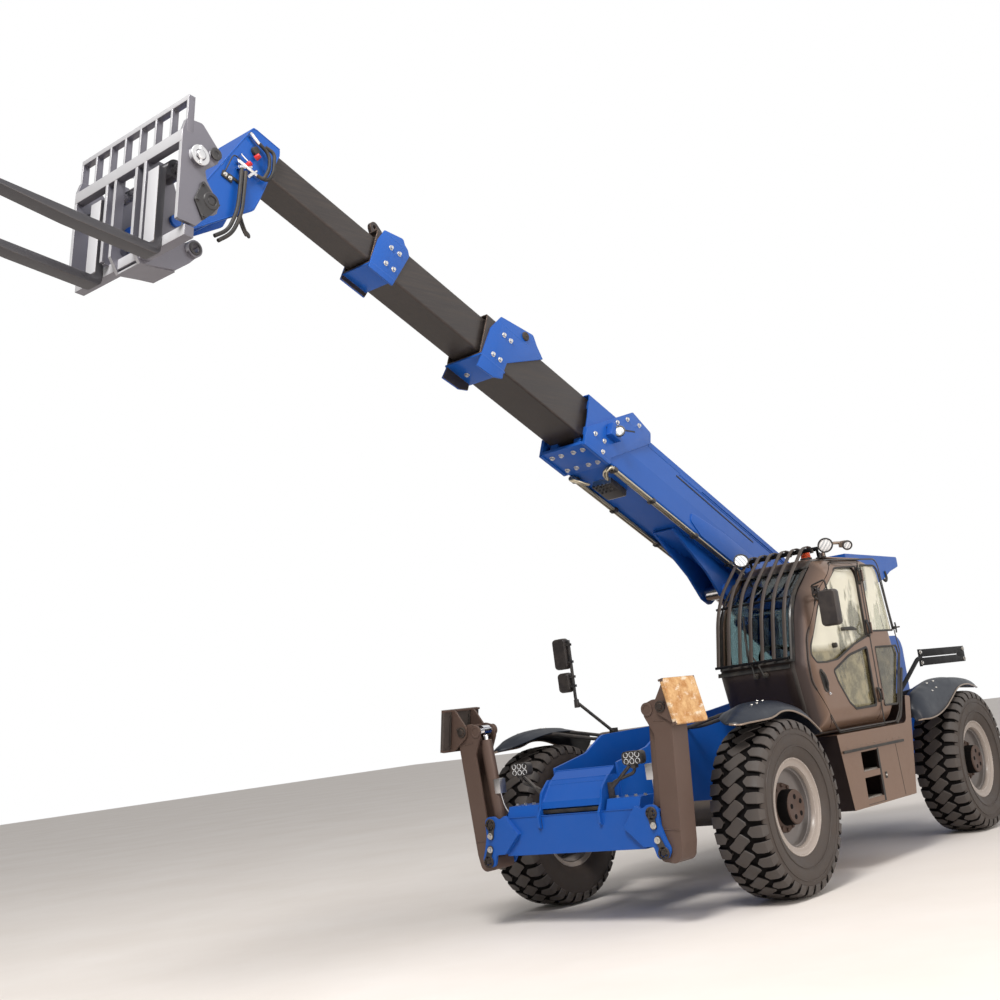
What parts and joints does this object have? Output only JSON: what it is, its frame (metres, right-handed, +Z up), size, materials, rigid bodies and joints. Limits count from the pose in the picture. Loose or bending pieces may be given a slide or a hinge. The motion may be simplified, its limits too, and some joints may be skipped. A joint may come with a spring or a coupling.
{
  "type": "telescopic handler",
  "caption": "Four-wheel telescopic handler: side cab, four-stage boom, fork carriage and two front stabiliser legs.",
  "frame": {"origin": "middle of the machine's box on the ground; the boom's centre plane is 73.5 mm to the right of it", "axes": "+X forward along the forks, +Y to the driver's left, the cab side, +Z up"},
  "size_m": [10.6196, 2.637, 5.3018],
  "materials": {
    "frame_main": "worn",
    "counterweight": "worn",
    "front_beam": "worn",
    "driveline": "worn",
    "engine_hood": "worn",
    "step_cabinet": "worn",
    "cab_shell": "worn",
    "cab_glass": "worn",
    "cab_guard": "worn",
    "cab_interior": "worn",
    "cab_door": "worn",
    "door_glass": "worn",
    "fenders": "worn",
    "rear_housing": "worn",
    "lamps": "worn",
    "mirrors": "worn",
    "door_mirror": "worn",
    "rear_bracket": "worn",
    "boom_outer": "worn",
    "boom_second": "worn",
    "boom_third": "worn",
    "boom_fourth": "worn",
    "boom_head": "worn",
    "boom_pipes": "worn",
    "energy_chain": "worn",
    "lift_barrel": "worn",
    "lift_rod": "worn",
    "carriage": "worn",
    "forks": "worn",
    "wheel_fl": "worn",
    "knuckle_fl": "worn",
    "wheel_fr": "worn",
    "knuckle_fr": "worn",
    "wheel_rl": "worn",
    "knuckle_rl": "worn",
    "wheel_rr": "worn",
    "knuckle_rr": "worn",
    "leg_l": "worn",
    "foot_l": "worn",
    "leg_barrel_l": "worn",
    "leg_rod_l": "worn",
    "leg_r": "worn",
    "foot_r": "worn",
    "leg_barrel_r": "worn",
    "leg_rod_r": "worn"
  },
  "bodies": {
    "chassis": {"frame_main": "frame_main", "counterweight": "counterweight", "front_beam": "front_beam", "driveline": "driveline", "engine_hood": "engine_hood", "step_cabinet": "step_cabinet", "cab_shell": "cab_shell", "cab_glass": "cab_glass", "cab_guard": "cab_guard", "cab_interior": "cab_interior", "fenders": "fenders", "rear_housing": "rear_housing", "lamps": "lamps", "mirrors": "mirrors", "rear_bracket": "rear_bracket"},
    "cab_door": {"cab_door": "cab_door", "door_glass": "door_glass", "door_mirror": "door_mirror"},
    "boom_outer": {"boom_outer": "boom_outer", "boom_pipes": "boom_pipes"},
    "boom_second": {"boom_second": "boom_second", "energy_chain": "energy_chain"},
    "boom_third": {"boom_third": "boom_third"},
    "boom_fourth": {"boom_fourth": "boom_fourth", "boom_head": "boom_head"},
    "carriage": {"carriage": "carriage", "forks": "forks"},
    "lift_barrel": {"lift_barrel": "lift_barrel"},
    "lift_rod": {"lift_rod": "lift_rod"},
    "knuckle_fl": {"knuckle_fl": "knuckle_fl"},
    "wheel_fl": {"wheel_fl": "wheel_fl"},
    "knuckle_fr": {"knuckle_fr": "knuckle_fr"},
    "wheel_fr": {"wheel_fr": "wheel_fr"},
    "knuckle_rl": {"knuckle_rl": "knuckle_rl"},
    "wheel_rl": {"wheel_rl": "wheel_rl"},
    "knuckle_rr": {"knuckle_rr": "knuckle_rr"},
    "wheel_rr": {"wheel_rr": "wheel_rr"},
    "leg_l": {"leg_l": "leg_l"},
    "foot_l": {"foot_l": "foot_l"},
    "leg_barrel_l": {"leg_barrel_l": "leg_barrel_l"},
    "leg_rod_l": {"leg_rod_l": "leg_rod_l"},
    "leg_r": {"leg_r": "leg_r"},
    "foot_r": {"foot_r": "foot_r"},
    "leg_barrel_r": {"leg_barrel_r": "leg_barrel_r"},
    "leg_rod_r": {"leg_rod_r": "leg_rod_r"}
  },
  "joints": [
    {"name": "boom_lift", "type": "hinge", "parent": "chassis", "child": "boom_outer", "pos_m": [-4.70982, -0.0735, 1.6], "axis": [0, -1, 0], "range_deg": [-26.2, 40.2]},
    {"name": "boom_slide_second", "type": "slide", "parent": "boom_outer", "child": "boom_second", "axis": [0.9078, 0, 0.4195], "range_m": [-0.34, 2.6]},
    {"name": "boom_slide_third", "type": "slide", "parent": "boom_second", "child": "boom_third", "axis": [0.9078, 0, 0.4195], "range_m": [-0.34, 2.6]},
    {"name": "boom_slide_fourth", "type": "slide", "parent": "boom_third", "child": "boom_fourth", "axis": [0.9078, 0, 0.4195], "range_m": [-0.34, 2.6]},
    {"name": "carriage_tilt", "type": "hinge", "parent": "boom_fourth", "child": "carriage", "pos_m": [3.86746, -0.0735, 4.50793], "axis": [0, 1, 0], "range_deg": [-20, 95]},
    {"name": "lift_barrel_swing", "type": "hinge", "parent": "chassis", "child": "lift_barrel", "pos_m": [-4.35982, -0.0735, 0.96], "axis": [0, -1, 0], "range_deg": [-26, 40]},
    {"name": "lift_rod_slide", "type": "slide", "parent": "lift_barrel", "child": "lift_rod", "axis": [0.8688, 0, 0.4952], "range_m": [-0.32, 0.48]},
    {"name": "cab_door_hinge", "type": "hinge", "parent": "chassis", "child": "cab_door", "pos_m": [-2.28182, 1.0945, 1.906], "axis": [0, 0, 1], "range_deg": [0, 95]},
    {"name": "steer_fl", "type": "hinge", "parent": "chassis", "child": "knuckle_fl", "pos_m": [-0.45982, 0.7165, 0.64], "axis": [0, 0, 1], "range_deg": [-30, 30]},
    {"name": "spin_fl", "type": "hinge", "parent": "knuckle_fl", "child": "wheel_fl", "pos_m": [-0.45982, 0.9615, 0.64], "axis": [0, 1, 0], "continuous": true},
    {"name": "steer_fr", "type": "hinge", "parent": "chassis", "child": "knuckle_fr", "pos_m": [-0.45982, -0.8635, 0.64], "axis": [0, 0, 1], "range_deg": [-30, 30]},
    {"name": "spin_fr", "type": "hinge", "parent": "knuckle_fr", "child": "wheel_fr", "pos_m": [-0.45982, -1.1085, 0.64], "axis": [0, 1, 0], "continuous": true},
    {"name": "steer_rl", "type": "hinge", "parent": "chassis", "child": "knuckle_rl", "pos_m": [-4.05982, 0.7165, 0.64], "axis": [0, 0, 1], "range_deg": [-30, 30]},
    {"name": "spin_rl", "type": "hinge", "parent": "knuckle_rl", "child": "wheel_rl", "pos_m": [-4.05982, 0.9615, 0.64], "axis": [0, 1, 0], "continuous": true},
    {"name": "steer_rr", "type": "hinge", "parent": "chassis", "child": "knuckle_rr", "pos_m": [-4.05982, -0.8635, 0.64], "axis": [0, 0, 1], "range_deg": [-30, 30]},
    {"name": "spin_rr", "type": "hinge", "parent": "knuckle_rr", "child": "wheel_rr", "pos_m": [-4.05982, -1.1085, 0.64], "axis": [0, 1, 0], "continuous": true},
    {"name": "stabiliser_l", "type": "hinge", "parent": "chassis", "child": "leg_l", "pos_m": [0.58018, 0.7065, 0.5], "axis": [-1, 0, 0], "range_deg": [0, 102]},
    {"name": "foot_pivot_l", "type": "hinge", "parent": "leg_l", "child": "foot_l", "pos_m": [0.58018, 0.8362, 1.47021], "axis": [-1, 0, 0], "range_deg": [-10, 10]},
    {"name": "leg_barrel_swing_l", "type": "hinge", "parent": "chassis", "child": "leg_barrel_l", "pos_m": [0.58018, 0.6495, 0.768], "axis": [-1, 0, 0], "range_deg": [0, 112]},
    {"name": "leg_rod_slide_l", "type": "slide", "parent": "leg_barrel_l", "child": "leg_rod_l", "axis": [0, 0.0901, 0.9959], "range_m": [0, 0.44]},
    {"name": "stabiliser_r", "type": "hinge", "parent": "chassis", "child": "leg_r", "pos_m": [0.58018, -0.8535, 0.5], "axis": [1, 0, 0], "range_deg": [0, 102]},
    {"name": "foot_pivot_r", "type": "hinge", "parent": "leg_r", "child": "foot_r", "pos_m": [0.58018, -0.9832, 1.47021], "axis": [1, 0, 0], "range_deg": [-10, 10]},
    {"name": "leg_barrel_swing_r", "type": "hinge", "parent": "chassis", "child": "leg_barrel_r", "pos_m": [0.58018, -0.7965, 0.768], "axis": [1, 0, 0], "range_deg": [0, 112]},
    {"name": "leg_rod_slide_r", "type": "slide", "parent": "leg_barrel_r", "child": "leg_rod_r", "axis": [0, -0.0901, 0.9959], "range_m": [0, 0.44]}
  ],
  "couplings": [
    {"joint": "boom_slide_third", "follows": "boom_slide_second", "ratio": 1},
    {"joint": "boom_slide_fourth", "follows": "boom_slide_second", "ratio": 1},
    {"joint": "lift_barrel_swing", "follows": "boom_lift", "ratio": 0.97},
    {"joint": "lift_rod_slide", "follows": "boom_lift", "m_per_rad": 0.67},
    {"joint": "steer_fr", "follows": "steer_fl", "ratio": 1},
    {"joint": "steer_rr", "follows": "steer_rl", "ratio": 1},
    {"joint": "leg_barrel_swing_l", "follows": "stabiliser_l", "ratio": 1.078},
    {"joint": "leg_rod_slide_l", "follows": "stabiliser_l", "m_per_rad": 0.232},
    {"joint": "leg_barrel_swing_r", "follows": "stabiliser_r", "ratio": 1.078},
    {"joint": "leg_rod_slide_r", "follows": "stabiliser_r", "m_per_rad": 0.232}
  ]
}
